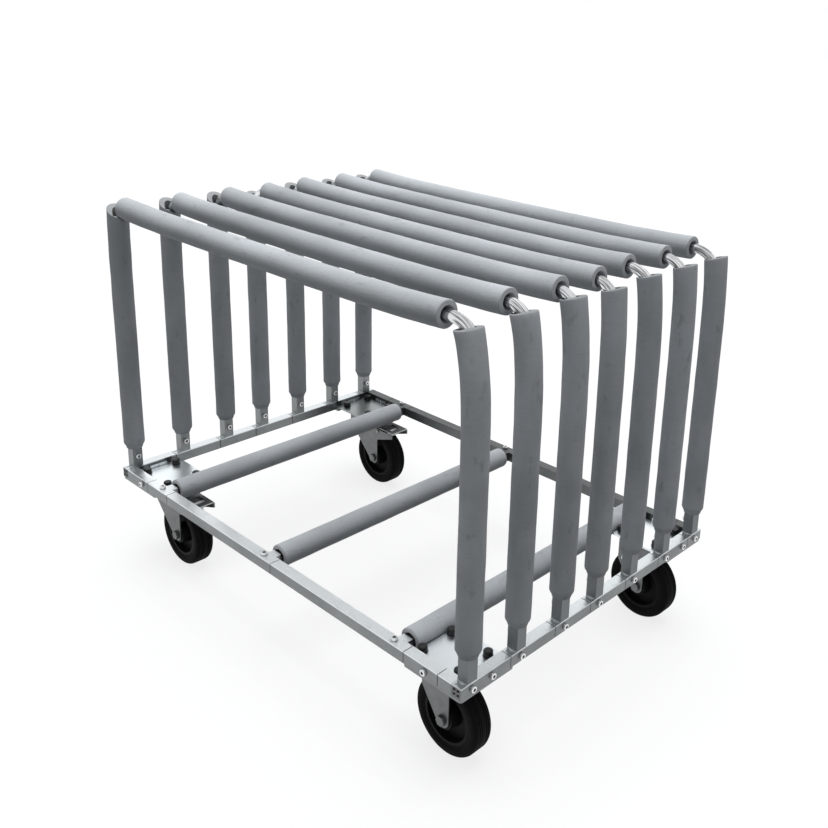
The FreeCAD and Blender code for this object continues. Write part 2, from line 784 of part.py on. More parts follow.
def make_caster_bolts():
    bolt = new_body("caster_bolt")
    head = sketch_on(bolt, "XY", "head_bottom")
    hexagon(head, "0", "0", "bolt_head")
    feature(bolt, "Pad", head, "bolt_head_height", backwards=True)
    stem = sketch_on(bolt, "XY", "head_bottom")
    circle(stem, "0", "0", "bolt_shank")
    feature(bolt, "Pad", stem, "panel_top + bolt_rise - head_bottom")
    cap = new_body("bolt_cap")
    flange = sketch_on(cap, "XY", "panel_top")
    circle(flange, "0", "0", "cap_flange")
    feature(cap, "Pad", flange, "cap_flange_height")
    crown = sketch_on(cap, "XY", "panel_top")
    circle(crown, "0", "0", "cap_diameter")
    feature(cap, "Pad", crown, "cap_height")
    top = measure("panel_top + cap_height") - tolerance
    round_edges(cap, "cap_round", lambda edge: edge.BoundBox.ZMin > top)
    bore = sketch_on(cap, "XY", "panel_top")
    circle(bore, "0", "0", "bolt_hole")
    feature(cap, "Pocket", bore, "bolt_rise + fit_clearance", backwards=True)
    bolts = []
    caps = []
    for x in ("caster_x", "-caster_x"):
        for y in ("caster_y", "-caster_y"):
            for side in ("-", "+"):
                for end in ("-", "+"):
                    spot = ("%s %s bolt_pitch_x / 2" % (x, side), "%s %s bolt_pitch_y / 2" % (y, end))
                    bolts.append(copy_of(bolt, *spot))
                    caps.append(copy_of(cap, *spot))
    node(group("caster_bolts", bolts), "caster_bolts")
    node(group("bolt_caps", caps), "bolt_caps")


def add_head_plate(body):
    # The caster's own mounting plate, with its four bolt holes.
    blank = sketch_on(body, "XY", "head_bottom")
    rectangle(blank, "-head_length / 2", "head_length / 2", "-head_width / 2", "head_width / 2")
    feature(body, "Pad", blank, "head_thickness")
    round_edges(body, "head_corner", upright_edge)
    holes = sketch_on(body, "XY", "caster_height")
    bolt_circles(holes, "0", "0", "bolt_hole")
    feature(body, "Pocket", holes, "head_thickness + cut_overrun")


def add_cheeks(body, outline, eye_x, top):
    # A folded fork: the side outline as one block with a round eye, hollowed so that two cheeks are left.
    side = sketch_on(body, "XZ")
    polygon(side, outline)
    feature(body, "Pad", side, "fork_width", symmetric=True)
    eye = sketch_on(body, "XZ")
    circle(eye, eye_x, "axle_place", "fork_eye")
    feature(body, "Pad", eye, "fork_width", symmetric=True)
    hollow = sketch_on(body, "YZ")
    rectangle(hollow, "-fork_gap / 2", "fork_gap / 2", "0", top + " - fork_sheet")
    feature(body, "Pocket", hollow, "4 * head_length", symmetric=True)
    hole = sketch_on(body, "XZ")
    circle(hole, eye_x, "axle_place", "axle_hole")
    feature(body, "Pocket", hole, "2 * fork_width", symmetric=True)


def eye_heel(eye_x):
    return ("%s + %s * fork_eye / 2" % (eye_x, eye_heel_shares[0]),
            "axle_place + %s * fork_eye / 2" % eye_heel_shares[1])


def make_fixed_fork(end, y):
    body = new_body("fixed_fork")
    add_head_plate(body)
    add_cheeks(body, [("-cheek_reach", "head_bottom"),
                      ("-cheek_reach", "head_bottom - cheek_shoulder"),
                      eye_heel("0"),
                      ("fork_eye / 2", "axle_place"),
                      ("fork_eye / 2", "head_bottom - cheek_flare"),
                      ("cheek_reach", "head_bottom - fork_sheet"),
                      ("cheek_reach", "head_bottom")], "0", "head_bottom")
    place(body, "caster_x", y)
    node(body, end + "_fixed_fork")


def make_swivel_head(end, y):
    body = new_body("swivel_head")
    add_head_plate(body)
    race = sketch_on(body, "XZ")
    polygon(race, [("race_inner / 2", "head_bottom"),
                   ("race_outer / 2", "head_bottom"),
                   ("race_outer / 2 - race_height / 2", "fork_top + fit_clearance"),
                   ("race_inner / 2", "fork_top + fit_clearance")])
    revolve(body, race, "V_Axis")
    hole = sketch_on(body, "XY", "caster_height")
    circle(hole, "0", "0", "kingpin + 2 * fit_clearance")
    feature(body, "Pocket", hole, "head_thickness + cut_overrun")
    place(body, "-caster_x", y)
    node(body, end + "_swivel_head")


def make_kingpins():
    body = new_body("kingpin")
    low = "fork_top - fork_sheet - fit_clearance - kingpin_flange_height"
    profile = sketch_on(body, "XZ")
    polygon(profile, [("0", low),
                      ("kingpin_flange / 2", low),
                      ("kingpin_flange / 2", low + " + kingpin_flange_height"),
                      ("kingpin / 2", low + " + kingpin_flange_height"),
                      ("kingpin / 2", "caster_height"),
                      ("0", "caster_height")])
    revolve(body, profile, "V_Axis")
    pins = [copy_of(body, "-caster_x", y) for y in ("-caster_y", "caster_y")]
    node(group("kingpins", pins), "kingpins")


def make_swivel_fork(end, y):
    body = new_body("swivel_fork")
    tip = "wheel_diameter + arm_tip_rise"
    add_cheeks(body, [("-fork_heel", "fork_top"),
                      ("-fork_heel", "fork_top - heel_depth"),
                      eye_heel("trail"),
                      ("trail + fork_eye / 2", "axle_place"),
                      ("trail + fork_eye / 2", "wheel_diameter - arm_drop"),
                      ("trail + arm_reach", tip),
                      ("trail + arm_reach", tip + " + arm_depth"),
                      ("trail + fork_eye / 2", tip + " + arm_depth"),
                      ("fork_heel", "fork_top")], "trail", "fork_top")
    round_edges(body, "fork_fold", edge_of_fold)
    hole = sketch_on(body, "XY", "fork_top")
    circle(hole, "0", "0", "kingpin + 2 * fit_clearance")
    feature(body, "Pocket", hole, "fork_sheet + cut_overrun")
    pivot = sketch_on(body, "XZ")
    circle(pivot, "trail + pivot_reach", "pivot_place", "pivot_pin + 2 * fit_clearance")
    feature(body, "Pocket", pivot, "2 * fork_width", symmetric=True)
    place(body, "-caster_x", y)
    node(body, end + "_swivel_fork")


def make_brake_pedal(end, y):
    # A stamped tread plate with a window, two ears on a pivot pin, and a shoe that comes down on the tyre.
    body = new_body("brake_pedal")
    start = "trail + pedal_start"
    plate = sketch_on(body, "XY", "pedal_bottom")
    rectangle(plate, start, start + " + pedal_length", "-pedal_width / 2", "pedal_width / 2")
    feature(body, "Pad", plate, "pedal_sheet")
    round_edges(body, "pedal_sheet", upright_edge)
    middle = start + " + pedal_length / 2"
    window = sketch_on(body, "XY", "pedal_bottom + pedal_sheet")
    rectangle(window, middle + " - pedal_window_length / 2", middle + " + pedal_window_length / 2",
              "-pedal_window_width / 2", "pedal_window_width / 2")
    feature(body, "Pocket", window, "pedal_sheet + cut_overrun")
    ears = sketch_on(body, "XZ")
    rectangle(ears, "trail + pivot_reach - ear_length / 2", "trail + pivot_reach + ear_length / 2",
              "pedal_bottom - ear_drop", "pedal_bottom")
    feature(body, "Pad", ears, "pedal_width", symmetric=True)
    between = sketch_on(body, "YZ")
    rectangle(between, "pedal_sheet - pedal_width / 2", "pedal_width / 2 - pedal_sheet",
              "pedal_bottom - ear_drop - cut_overrun", "pedal_bottom")
    feature(body, "Pocket", between, "4 * head_length", symmetric=True)
    inner = "shoe_start"
    outer = "shoe_start + shoe_length"
    shoe = sketch_on(body, "XZ")
    polygon(shoe, [("trail + " + inner, "axle_place + sqrt(shoe_radius ^ 2 - (%s) ^ 2)" % inner),
                   ("trail + " + outer, "axle_place + sqrt(shoe_radius ^ 2 - (%s) ^ 2)" % outer),
                   ("trail + " + outer, "pedal_bottom"),
                   ("trail + " + inner, "pedal_bottom")])
    feature(body, "Pad", shoe, "shoe_width", symmetric=True)
    pin = sketch_on(body, "XZ")
    circle(pin, "trail + pivot_reach", "pivot_place", "pivot_pin")
    feature(body, "Pad", pin, "fork_width + pivot_pin", symmetric=True)
    place(body, "-caster_x", y)
    node(body, end + "_brake_pedal")


def make_axle():
    bolt = new_body("axle_bolt")
    head = sketch_on(bolt, "XZ", "fork_width / 2")
    hexagon(head, "0", "axle_place", "axle_across")
    feature(bolt, "Pad", head, "axle_head_height")
    stem = sketch_on(bolt, "XZ", "fork_width / 2")
    circle(stem, "0", "axle_place", "axle")
    feature(bolt, "Pad", stem, "fork_width + axle_head_height + axle_tail", backwards=True)
    nut = new_body("axle_nut")
    flats = sketch_on(nut, "XZ", "-fork_width / 2")
    hexagon(flats, "0", "axle_place", "axle_across")
    circle(flats, "0", "axle_place", "axle_hole")
    feature(nut, "Pad", flats, "axle_head_height", backwards=True)
    return group("axle", [bolt, nut])


def make_axles():
    axle = make_axle()
    fixed = [copy_of(axle, "caster_x", y) for y in ("-caster_y", "caster_y")]
    node(group("fixed_axles", fixed), "fixed_axles")
    for end, y in caster_ends:
        node(group("swivel_axle", [copy_of(axle, "trail - caster_x", y)]), end + "_swivel_axle")


def make_wheel(name, x, y):
    core = new_body("wheel_core")
    profile = sketch_on(core, "YZ")
    rim_inside = "rim_diameter / 2 - rim_wall"
    section = [("hub_width / 2", "axle_hole / 2"),
               ("hub_width / 2", "hub_diameter / 2"),
               ("web_thickness / 2", "hub_diameter / 2 + web_thickness / 2"),
               ("web_thickness / 2", rim_inside),
               ("rim_width / 2", rim_inside),
               ("rim_width / 2", "rim_diameter / 2")]
    polygon(profile, section + [("-" + across, out) for across, out in reversed(section)])
    revolve(core, profile, "H_Axis")
    place(core, x, y, "axle_place")
    node(core, name + "_wheel_core")
    tyre = new_body("tyre")
    profile = sketch_on(tyre, "YZ")
    seat = "rim_diameter / 2 + seat_clearance"
    tread = "wheel_diameter / 2"
    section = [("rim_width / 2", seat),
               ("tyre_width / 2", seat + " + tyre_shoulder"),
               ("tyre_width / 2", tread)]
    for share in groove_shares:
        edge = "%s * (tyre_width / 2 - tyre_shoulder)" % share
        section += [(edge + " + tyre_groove / 2", tread), (edge, tread + " - tyre_groove"),
                    (edge + " - tyre_groove / 2", tread)]
    polygon(profile, section + [("-(%s)" % across, out) for across, out in reversed(section)])
    revolve(tyre, profile, "H_Axis")
    round_edges(tyre, "tyre_shoulder", edge_of_tread)
    place(tyre, x, y, "axle_place")
    node(tyre, name + "_tyre")


for index in range(len(hoop_place_shares)):
    make_hoop(index)
    make_top_sleeve(index)
make_leg_sleeves()
for side in bar_names:
    make_cross_bar(side)
make_rails()
make_corner_plates()
make_clamp_screws()
make_caster_bolts()
make_kingpins()
make_axles()
for end, y in caster_ends:
    make_fixed_fork(end, y)
    make_swivel_head(end, y)
    make_swivel_fork(end, y)
    make_brake_pedal(end, y)
    make_wheel(end + "_right", "caster_x", y)
    make_wheel(end + "_left", "trail - caster_x", y)

doc.recompute()
for thing in doc.Objects:
    if "Invalid" in thing.State or "Error" in thing.State:
        raise RuntimeError("%s (%s) did not build" % (thing.Name, thing.Label))
for item in nodes:
    if item.Shape.isNull() or not item.Shape.isValid() or not item.Shape.Solids:
        raise RuntimeError("%s has no sound solid" % item.Label)

os.makedirs("parts", exist_ok=True)
for item in nodes:
    solids = item.Shape.Solids
    shape = solids[0] if len(solids) == 1 else Part.makeCompound(solids)
    shape.exportStep("parts/%s.step" % item.Label)
print("%d nodes, %d solids" % (len(nodes), sum(len(item.Shape.Solids) for item in nodes)))
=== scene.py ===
import json
import math

import bmesh
import bpy
from mathutils import Matrix, Vector, noise


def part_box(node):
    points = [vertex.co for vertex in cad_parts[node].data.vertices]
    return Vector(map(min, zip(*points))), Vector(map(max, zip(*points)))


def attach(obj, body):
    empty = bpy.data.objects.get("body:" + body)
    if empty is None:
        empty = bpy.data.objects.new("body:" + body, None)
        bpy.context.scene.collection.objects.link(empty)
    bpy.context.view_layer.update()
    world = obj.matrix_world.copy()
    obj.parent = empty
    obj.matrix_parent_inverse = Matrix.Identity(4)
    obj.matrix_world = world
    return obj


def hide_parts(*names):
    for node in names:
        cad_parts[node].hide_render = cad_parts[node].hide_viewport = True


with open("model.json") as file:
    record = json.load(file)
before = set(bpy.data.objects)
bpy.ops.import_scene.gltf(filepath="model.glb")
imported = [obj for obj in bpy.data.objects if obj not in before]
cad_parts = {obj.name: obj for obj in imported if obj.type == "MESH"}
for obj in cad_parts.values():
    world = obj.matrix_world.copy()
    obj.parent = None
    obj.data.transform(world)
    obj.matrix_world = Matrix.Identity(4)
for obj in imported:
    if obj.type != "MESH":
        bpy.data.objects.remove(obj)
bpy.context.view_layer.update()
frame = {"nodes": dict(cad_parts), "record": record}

nodes = frame["nodes"]
print("frame loaded:", len(nodes), "nodes")


# node helpers
noiseSpread = (0.3, 0.7)    # nearly all values of a noise texture lie between these
noiseMiddle = 0.5
fullRange = (0.0, 1.0)


def addNode(tree, kind, **settings):
    made = tree.nodes.new(kind)
    for name, value in settings.items():
        setattr(made, name, value)
    return made


def setInputs(made, **values):
    for name, value in values.items():
        made.inputs[name].default_value = value
    return made


def newMaterial(name):
    material = bpy.data.materials.new(name)
    material.use_nodes = True
    shader = material.node_tree.nodes["Principled BSDF"]
    return material, material.node_tree, shader


def newGroup(name, inputs, outputs):
    group = bpy.data.node_groups.new(name, "ShaderNodeTree")
    for label, kind, value in inputs:
        socket = group.interface.new_socket(name=label, in_out="INPUT", socket_type=kind)
        socket.default_value = value
    for label in outputs:
        group.interface.new_socket(name=label, in_out="OUTPUT", socket_type="NodeSocketFloat")
    return group, group.nodes.new("NodeGroupInput"), group.nodes.new("NodeGroupOutput")


def placeGroup(tree, group, **values):
    return setInputs(addNode(tree, "ShaderNodeGroup", node_tree=group), **values)


def mixColours(tree, factor, first, second):
    # the first is a colour or another node's output
    mix = addNode(tree, "ShaderNodeMix", data_type="RGBA")
    if isinstance(first, tuple):
        mix.inputs["A"].default_value = (*first, 1.0)
    else:
        tree.links.new(first, mix.inputs["A"])
    mix.inputs["B"].default_value = (*second, 1.0)
    tree.links.new(factor, mix.inputs["Factor"])
    return mix.outputs["Result"]


def mapValue(tree, value, source, target=fullRange):
    remap = addNode(tree, "ShaderNodeMapRange")
    for name, limit in zip(("From Min", "From Max", "To Min", "To Max"), (*source, *target)):
        remap.inputs[name].default_value = limit
    tree.links.new(value, remap.inputs["Value"])
    return remap.outputs["Result"]


def mathNode(tree, operation, first, second):
    made = addNode(tree, "ShaderNodeMath", operation=operation)
    for socket, value in zip(made.inputs, (first, second)):
        if isinstance(value, (int, float)):
            socket.default_value = value
        else:
            tree.links.new(value, socket)
    return made.outputs["Value"]


def objectSpot(tree):
    return addNode(tree, "ShaderNodeTexCoord").outputs["Object"]


def splitVector(tree, vector):
    split = addNode(tree, "ShaderNodeSeparateXYZ")
    tree.links.new(vector, split.inputs["Vector"])
    return split.outputs


def linkSurface(tree, shader, colour, rough):
    tree.links.new(colour, shader.inputs["Base Color"])
    tree.links.new(rough, shader.inputs["Roughness"])


def linkBump(tree, shader, height, strength, distance, normal=None):
    bump = setInputs(addNode(tree, "ShaderNodeBump"), Strength=strength, Distance=distance)
    tree.links.new(height, bump.inputs["Height"])
    if normal is not None:
        tree.links.new(normal, bump.inputs["Normal"])
    tree.links.new(bump.outputs["Normal"], shader.inputs["Normal"])


# shared effects
def stretchedSpot(group, given):
    scaled = addNode(group, "ShaderNodeVectorMath", operation="MULTIPLY")
    group.links.new(objectSpot(group), scaled.inputs[0])
    group.links.new(given.outputs["Stretch"], scaled.inputs[1])
    return scaled.outputs["Vector"]


def makeMottle():
    # broad clouds, fine grain and small pits
    group, given, out = newGroup(
        "mottle",
        [("Stretch", "NodeSocketVector", (1.0, 1.0, 1.0)),
         ("CloudScale", "NodeSocketFloat", 8.0),
         ("GrainScale", "NodeSocketFloat", 220.0)],
        ("Clouds", "Grain", "Pits"))
    spot = stretchedSpot(group, given)
    clouds = setInputs(addNode(group, "ShaderNodeTexNoise"), Detail=3.0, Roughness=0.55)
    grain = setInputs(addNode(group, "ShaderNodeTexNoise"), Detail=5.0, Roughness=0.6)
    pits = addNode(group, "ShaderNodeTexVoronoi")
    for texture, scale in ((clouds, "CloudScale"), (grain, "GrainScale"), (pits, "GrainScale")):
        group.links.new(spot, texture.inputs["Vector"])
        group.links.new(given.outputs[scale], texture.inputs["Scale"])
    group.links.new(clouds.outputs["Fac"], out.inputs["Clouds"])
    group.links.new(grain.outputs["Fac"], out.inputs["Grain"])
    group.links.new(pits.outputs["Distance"], out.inputs["Pits"])
    return group


def makeMarks():
    # thin broken lines: long in the directions with a small stretch, close together in the others
    group, given, out = newGroup(
        "marks",
        [("Stretch", "NodeSocketVector", (10.0, 10.0, 300.0)), ("Width", "NodeSocketFloat", 0.06)],
        ("Lines",))
    strands = setInputs(addNode(group, "ShaderNodeTexNoise"), Scale=1.0, Detail=2.0, Roughness=0.5)
    group.links.new(stretchedSpot(group, given), strands.inputs["Vector"])
    offset = mathNode(group, "SUBTRACT", strands.outputs["Fac"], noiseMiddle)
    away = mathNode(group, "ABSOLUTE", offset, 0.0)
    share = mathNode(group, "DIVIDE", away, given.outputs["Width"])
    lines = mathNode(group, "SUBTRACT", 1.0, share)
    kept = addNode(group, "ShaderNodeClamp")
    group.links.new(lines, kept.inputs["Value"])
    group.links.new(kept.outputs["Result"], out.inputs["Lines"])
    return group


dustFall = {
    "facing": (-0.2, 1.0),      # upward part of the normal, from undersides to flat tops
    "cover": (0.15, 1.0),       # share of the dust that those two get
    "patches": (0.35, 0.7),     # noise values between bare and covered
}


def makeDust():
    # dust that has settled on whatever faces up, broken up by noise
    group, given, out = newGroup(
        "dust",
        [("Scale", "NodeSocketFloat", 30.0), ("Amount", "NodeSocketFloat", 0.5)],
        ("Mask",))
    clouds = setInputs(addNode(group, "ShaderNodeTexNoise"), Detail=6.0, Roughness=0.65)
    group.links.new(objectSpot(group), clouds.inputs["Vector"])
    group.links.new(given.outputs["Scale"], clouds.inputs["Scale"])
    surface = addNode(group, "ShaderNodeNewGeometry")
    facing = splitVector(group, surface.outputs["Normal"])["Z"]
    upward = mapValue(group, facing, dustFall["facing"], dustFall["cover"])
    patches = mapValue(group, clouds.outputs["Fac"], dustFall["patches"])
    mask = mathNode(group, "MULTIPLY", upward, patches)
    mask = mathNode(group, "MULTIPLY", mask, given.outputs["Amount"])
    group.links.new(mask, out.inputs["Mask"])
    return group


mottle = makeMottle()
marks = makeMarks()
dust = makeDust()

# painted shade in hollows: occlusion values over which the darkening fades from full to none
hollowLook = {"samples": 8, "openness": (0.35, 0.85)}


def paintShadeInHollows(tree, colour, look):
    # painted shade: darkens seams, holes and inner corners towards the hollow shade colour, by ambient
    # occlusion
    hollow = addNode(tree, "ShaderNodeAmbientOcclusion", samples=hollowLook["samples"])
    setInputs(hollow, Distance=look["hollowReach"])
    paintedShade = mapValue(tree, hollow.outputs["AO"], hollowLook["openness"], (look["hollowShadeCover"], 0.0))
    return mixColours(tree, paintedShade, colour, look["hollowShadeColour"])


# foam of the sleeves: closed-cell skin with shallow creases round the tube
foamLook = {
    "dark": (0.40, 0.422, 0.444),
    "pale": (0.525, 0.555, 0.585),
    "cloudScale": 9.0,
    "cloudSpread": (0.32, 0.68),
    "grainScale": 260.0,
    "crease": (0.27, 0.285, 0.30),
    "creaseWidth": 0.035,
    "creaseCover": 0.14,
    "creaseDepth": 0.45,        # beside the depth of a pit
    "specks": (0.62, 0.75),     # noise values between none and the full cover
    "speckCover": 0.35,
    "scuffScale": 55.0,
    "scuffs": (0.62, 0.74),
    "scuffCover": 0.5,
    "roughness": (0.58, 0.8),
    "specular": 0.18,
    "bump": 0.35,
    "pitDepth": 0.0005,
}


def foamMaterial(name, stretch, creaseStretch):
    look = foamLook
    material, tree, shader = newMaterial(name)
    skin = placeGroup(tree, mottle, Stretch=stretch, CloudScale=look["cloudScale"],
                      GrainScale=look["grainScale"])
    handling = placeGroup(tree, mottle, Stretch=stretch, CloudScale=look["scuffScale"])
    creases = placeGroup(tree, marks, Stretch=creaseStretch, Width=look["creaseWidth"])
    tone = mapValue(tree, skin.outputs["Clouds"], look["cloudSpread"])
    colour = mixColours(tree, tone, look["dark"], look["pale"])
    # the crease colour darkens the crease lines as painted shade in the folds, and the specks and scuffs as
    # dirt and wear
    lines = mathNode(tree, "MULTIPLY", creases.outputs["Lines"], look["creaseCover"])
    specks = mapValue(tree, skin.outputs["Grain"], look["specks"], (0.0, look["speckCover"]))
    scuffs = mapValue(tree, handling.outputs["Clouds"], look["scuffs"], (0.0, look["scuffCover"]))
    for cover in (lines, specks, scuffs):
        colour = mixColours(tree, cover, colour, look["crease"])
    rough = mapValue(tree, skin.outputs["Grain"], noiseSpread, look["roughness"])
    linkSurface(tree, shader, colour, rough)
    shader.inputs["Specular IOR Level"].default_value = look["specular"]
    folds = mathNode(tree, "MULTIPLY", creases.outputs["Lines"], look["creaseDepth"])
    relief = mathNode(tree, "SUBTRACT", skin.outputs["Pits"], folds)
    linkBump(tree, shader, relief, look["bump"], look["pitDepth"])
    return material


# sawn foam, where the cells are open
cutFoamLook = {
    "grainScale": 700.0,
    "roughness": (0.75, 0.92),
    "specular": 0.25,
    "bump": 0.5,
    "pitDepth": 0.0006,
}


def cutFoamMaterial(name, dark, pale):
    look = cutFoamLook
    material, tree, shader = newMaterial(name)
    cells = placeGroup(tree, mottle, GrainScale=look["grainScale"])
    tone = mapValue(tree, cells.outputs["Grain"], noiseSpread)
    colour = mixColours(tree, tone, dark, pale)
    rough = mapValue(tree, cells.outputs["Grain"], noiseSpread, look["roughness"])
    linkSurface(tree, shader, colour, rough)
    shader.inputs["Specular IOR Level"].default_value = look["specular"]
    linkBump(tree, shader, cells.outputs["Pits"], look["bump"], look["pitDepth"])
    return material


topSkin = foamMaterial("foamTop", stretch=(0.35, 1.0, 1.0), creaseStretch=(170.0, 12.0, 12.0))
legSkin = foamMaterial("foamLeg", stretch=(1.0, 1.0, 0.5), creaseStretch=(12.0, 12.0, 190.0))
bedSkin = foamMaterial("foamBed", stretch=(1.0, 0.35, 1.0), creaseStretch=(12.0, 170.0, 12.0))
# the same sawn foam in three tones, painted light and shade: the sleeve ends, which face sideways, lighter;
# the right leg tops and the bores darker, standing in for their shade; the left leg tops in between
barCutLit = cutFoamMaterial("foamBarCutLit", dark=(0.50, 0.52, 0.535), pale=(0.66, 0.68, 0.695))
legCutShaded = cutFoamMaterial("foamLegCutShaded", dark=(0.22, 0.23, 0.238), pale=(0.33, 0.343, 0.353))
leftRim = cutFoamMaterial("foamLeftRim", dark=(0.31, 0.322, 0.333), pale=(0.43, 0.445, 0.457))


# zinc and steel: the bands are upper parts of a piece with a colour and roughness of their own; their
# colours are painted light and shade by height, such as the near-white painted highlight on the rail tops
def zincMaterial(name, look):
    material, tree, shader = newMaterial(name)
    plating = placeGroup(tree, mottle, CloudScale=look["cloudScale"], GrainScale=look["grainScale"])
    scratchAndReflectionLines = placeGroup(tree, marks, Stretch=look["scratchStretch"], Width=look["scratchWidth"])
    grime = placeGroup(tree, dust, Scale=look["dustScale"], Amount=look["dustAmount"])
    tone = mapValue(tree, plating.outputs["Clouds"], noiseSpread)
    colour = mixColours(tree, tone, look["dark"], look["pale"])
    # the lines are scratches on the rails, and dark painted reflections on the hoop and the fasteners
    streaks = mathNode(tree, "MULTIPLY", scratchAndReflectionLines.outputs["Lines"], look["streakGain"])
    colour = mixColours(tree, streaks, colour, look["streak"])
    colour = mixColours(tree, grime.outputs["Mask"], colour, look["dustColour"])
    rough = mapValue(tree, plating.outputs["Grain"], noiseSpread, look["roughness"])
    worn = mathNode(tree, "MULTIPLY", scratchAndReflectionLines.outputs["Lines"], look["scratchGain"])
    rough = mathNode(tree, "ADD", rough, worn)
    # painted highlight or painted shade on the part above each band's height
    for band in look["bands"]:
        height = splitVector(tree, objectSpot(tree))["Z"]
        above = mapValue(tree, height, band["fade"], (0.0, band["cover"]))
        colour = mixColours(tree, above, colour, band["colour"])
        rough = mathNode(tree, "ADD", rough, mathNode(tree, "MULTIPLY", above, band["matt"]))
    # painted shade in seams, holes and inner corners
    colour = paintShadeInHollows(tree, colour, look)
    linkSurface(tree, shader, colour, rough)
    setInputs(shader, Metallic=1.0)
    relief = mathNode(tree, "SUBTRACT", plating.outputs["Grain"], scratchAndReflectionLines.outputs["Lines"])
    arris = setInputs(addNode(tree, "ShaderNodeBevel", samples=4), Radius=look["edgeRound"])
    linkBump(tree, shader, relief, look["bump"], look["grainDepth"], arris.outputs["Normal"])
    return material


# heights above the floor between which a band fades in
railTopFade = (0.2278, 0.2288)
socketFade = (0.2305, 0.2315)
panelFade = (0.2055, 0.2075)

railLook = {
    "dark": (0.19, 0.202, 0.205), "pale": (0.255, 0.269, 0.273), "cloudScale": 11.0, "grainScale": 420.0,
    "scratchStretch": (40.0, 40.0, 500.0), "scratchWidth": 0.03, "scratchGain": 0.10,
    "streak": (0.12, 0.125, 0.125), "streakGain": 0.25,
    "dustColour": (0.2, 0.205, 0.2), "dustScale": 45.0, "dustAmount": 0.2,
    "hollowReach": 0.006, "hollowShadeCover": 0.85, "hollowShadeColour": (0.03, 0.031, 0.031),
    "roughness": (0.26, 0.36), "bump": 0.07, "grainDepth": 0.0003, "edgeRound": 0.0012,
    # painted highlight: the top face above railTopFade is near white
    "bands": [dict(fade=railTopFade, cover=0.95, colour=(0.885, 0.925, 0.945), matt=0.0)],
}
# the side rails are a duller, darker copy of the rail zinc, painted shade, with a weaker painted highlight
# on the top face and darker, matt sockets above it that the highlight leaves out
paintedTopHighlight = dict(fade=railTopFade, cover=0.92, colour=(0.7, 0.742, 0.755), matt=0.0)
sideRailLook = dict(
    railLook, dark=(0.175, 0.186, 0.188), pale=(0.245, 0.258, 0.26), hollowReach=0.003, hollowShadeCover=0.6,
    bands=[paintedTopHighlight, dict(fade=socketFade, cover=1.0, colour=(0.17, 0.182, 0.186), matt=0.16)])
# the left rail is the same, with lighter sockets: painted light
leftRailLook = dict(
    sideRailLook,
    bands=[paintedTopHighlight, dict(fade=socketFade, cover=1.0, colour=(0.25, 0.263, 0.266), matt=0.12)])
# the rear rail is a darker, rougher copy of the rail zinc: painted shade
rearRailLook = dict(
    railLook, dark=(0.10, 0.108, 0.109), pale=(0.15, 0.16, 0.161), roughness=(0.36, 0.46),
    bands=[dict(fade=railTopFade, cover=0.8, colour=(0.13, 0.139, 0.139), matt=0.1)])
# the flange under the rails is dull; the raised panel and the lugs above panelFade get a near-white painted
# reflection
plateLook = dict(
    railLook, dark=(0.2, 0.21, 0.213), pale=(0.25, 0.26, 0.263), cloudScale=7.0,
    scratchStretch=(10.0, 160.0, 20.0), scratchGain=0.01, streakGain=0.0, dustAmount=0.06,
    roughness=(0.24, 0.28), bump=0.003, edgeRound=0.0008,
    bands=[dict(fade=panelFade, cover=1.0, colour=(0.86, 0.912, 0.94), matt=0.06)])
# the rear left plate's panel is a darker copy: painted shade in place of that reflection
dullPlateLook = dict(
    plateLook, bands=[dict(fade=panelFade, cover=1.0, colour=(0.33, 0.355, 0.36), matt=0.08)])
forkLook = dict(
    railLook, dark=(0.15, 0.157, 0.159), pale=(0.20, 0.208, 0.21), cloudScale=24.0,
    dustColour=(0.2, 0.203, 0.2), roughness=(0.38, 0.52), bump=0.10, edgeRound=0.001, bands=[])
pedalLook = dict(forkLook, dark=(0.33, 0.343, 0.347), pale=(0.43, 0.445, 0.45), roughness=(0.28, 0.4))
# bright round tube, with dark lines along it that are painted reflections of dark surroundings
hoopLook = dict(
    railLook, dark=(0.6, 0.615, 0.625), pale=(0.86, 0.875, 0.885),
    scratchStretch=(9.0, 280.0, 9.0), scratchWidth=0.075, streak=(0.06, 0.063, 0.064), streakGain=0.85,
    dustAmount=0.06, roughness=(0.08, 0.16), bump=0.05, edgeRound=0.0003, bands=[])
# fasteners share the hoop's dark painted reflection lines, fainter
fastenerLook = dict(
    hoopLook, dark=(0.76, 0.775, 0.785), pale=(0.9, 0.912, 0.92), cloudScale=90.0, streakGain=0.2,
    roughness=(0.16, 0.28), edgeRound=0.0005)

railZinc = zincMaterial("railZinc", railLook)
sideRailZinc = zincMaterial("sideRailZinc", sideRailLook)
leftRailZinc = zincMaterial("leftRailZinc", leftRailLook)
rearRailZinc = zincMaterial("rearRailZinc", rearRailLook)
plateZinc = zincMaterial("plateZinc", plateLook)
dullPlateZinc = zincMaterial("dullPlateZinc", dullPlateLook)
forkSteel = zincMaterial("forkSteel", forkLook)
pedalSteel = zincMaterial("pedalSteel", pedalLook)
hoopBright = zincMaterial("hoopBright", hoopLook)
fastenerSteel = zincMaterial("fastenerSteel", fastenerLook)


